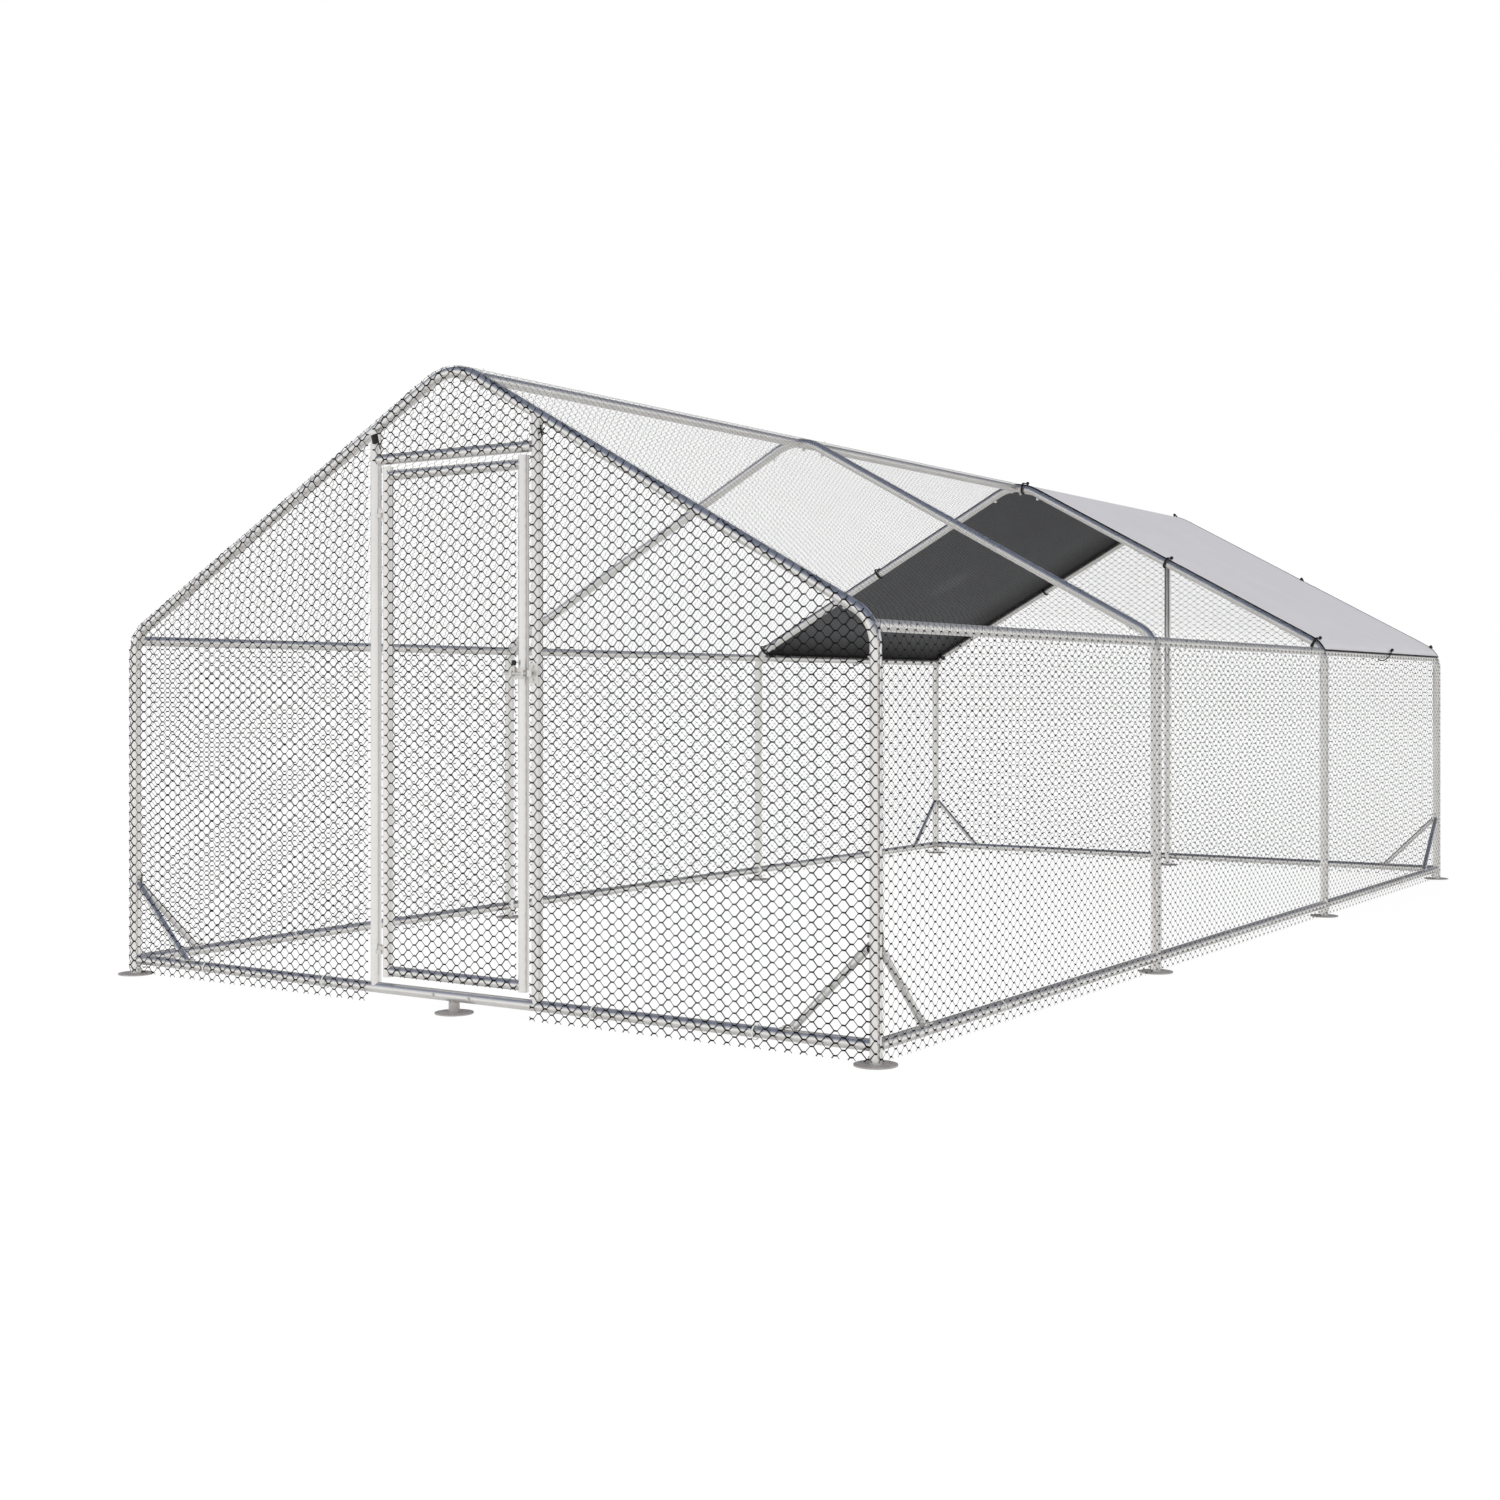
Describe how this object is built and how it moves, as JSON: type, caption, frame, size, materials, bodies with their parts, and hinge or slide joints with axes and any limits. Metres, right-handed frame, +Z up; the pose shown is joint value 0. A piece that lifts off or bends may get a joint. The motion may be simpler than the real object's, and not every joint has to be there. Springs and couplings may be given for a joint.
{
  "type": "walk-in chicken coop",
  "caption": "Walk-in poultry run of galvanised tube frames under hexagonal wire netting, with a pitched roof, a part roof cover and a hinged, latched door in one end.",
  "frame": {"origin": "middle of the footprint, on the ground under the foot plates", "axes": "+X across the coop to the right when facing the door, +Y from the door to the back, +Z up"},
  "size_m": [3.12, 6.1196, 2.0164],
  "materials": {
    "galvanised_tube": "galvanised, satin",
    "foot_steel": "galvanised, matt grey",
    "zinc_hardware": "zinc plated",
    "net_wire": "dark coated wire",
    "cover_cloth": "coated woven cloth, light grey above",
    "tie_rubber": "black ball ties",
    "tie_plastic": "white",
    "knob_plastic": "black"
  },
  "bodies": {
    "frame": {"back_bottom_rails": "galvanised_tube", "back_centre_post": "galvanised_tube", "back_eave_elbows": "galvanised_tube", "back_left_braces": "galvanised_tube", "back_left_net": "net_wire", "back_posts": "galvanised_tube", "back_rafters": "galvanised_tube", "back_ridge_elbow": "galvanised_tube", "back_right_braces": "galvanised_tube", "back_right_net": "net_wire", "centre_feet": "foot_steel", "cover_ties": "tie_rubber", "door_header": "galvanised_tube", "frame_screws": "zinc_hardware", "front_bottom_rails": "galvanised_tube", "front_eave_elbows": "galvanised_tube", "front_gable_net": "net_wire", "front_left_braces": "galvanised_tube", "front_left_net": "net_wire", "front_posts": "galvanised_tube", "front_rafters": "galvanised_tube", "front_ridge_elbow": "galvanised_tube", "front_right_braces": "galvanised_tube", "front_right_net": "net_wire", "hinge_lugs": "zinc_hardware", "hinge_pins": "zinc_hardware", "latch_keeper": "zinc_hardware", "left_bottom_rails": "galvanised_tube", "left_door_post": "galvanised_tube", "left_eave_rails": "galvanised_tube", "left_feet": "foot_steel", "left_roof_nets": "net_wire", "left_wall_nets": "net_wire", "net_ties": "tie_plastic", "ridge_rails": "galvanised_tube", "right_bottom_rails": "galvanised_tube", "right_door_post": "galvanised_tube", "right_eave_rails": "galvanised_tube", "right_feet": "foot_steel", "right_roof_nets": "net_wire", "right_wall_nets": "net_wire", "roof_cover": "cover_cloth", "second_eave_elbows": "galvanised_tube", "second_posts": "galvanised_tube", "second_rafters": "galvanised_tube", "second_ridge_elbow": "galvanised_tube", "third_eave_elbows": "galvanised_tube", "third_posts": "galvanised_tube", "third_rafters": "galvanised_tube", "third_ridge_elbow": "galvanised_tube"},
    "door": {"door_hinge_stile": "galvanised_tube", "door_latch_stile": "galvanised_tube", "door_top_rail": "galvanised_tube", "door_bottom_rail": "galvanised_tube", "door_net": "net_wire", "door_screws": "zinc_hardware", "hinge_eyes": "zinc_hardware", "latch_body": "zinc_hardware"},
    "latch_bolt": {"latch_bolt": "zinc_hardware", "latch_knob": "knob_plastic"}
  },
  "joints": [
    {"name": "door_hinge", "type": "hinge", "parent": "frame", "child": "door", "pos_m": [-0.306, -3.008, 0.868], "axis": [0, 0, -1], "range_deg": [0, 110]},
    {"name": "latch_slide", "type": "slide", "parent": "door", "child": "latch_bolt", "axis": [1, 0, 0], "range_m": [0, 0.024]}
  ]
}
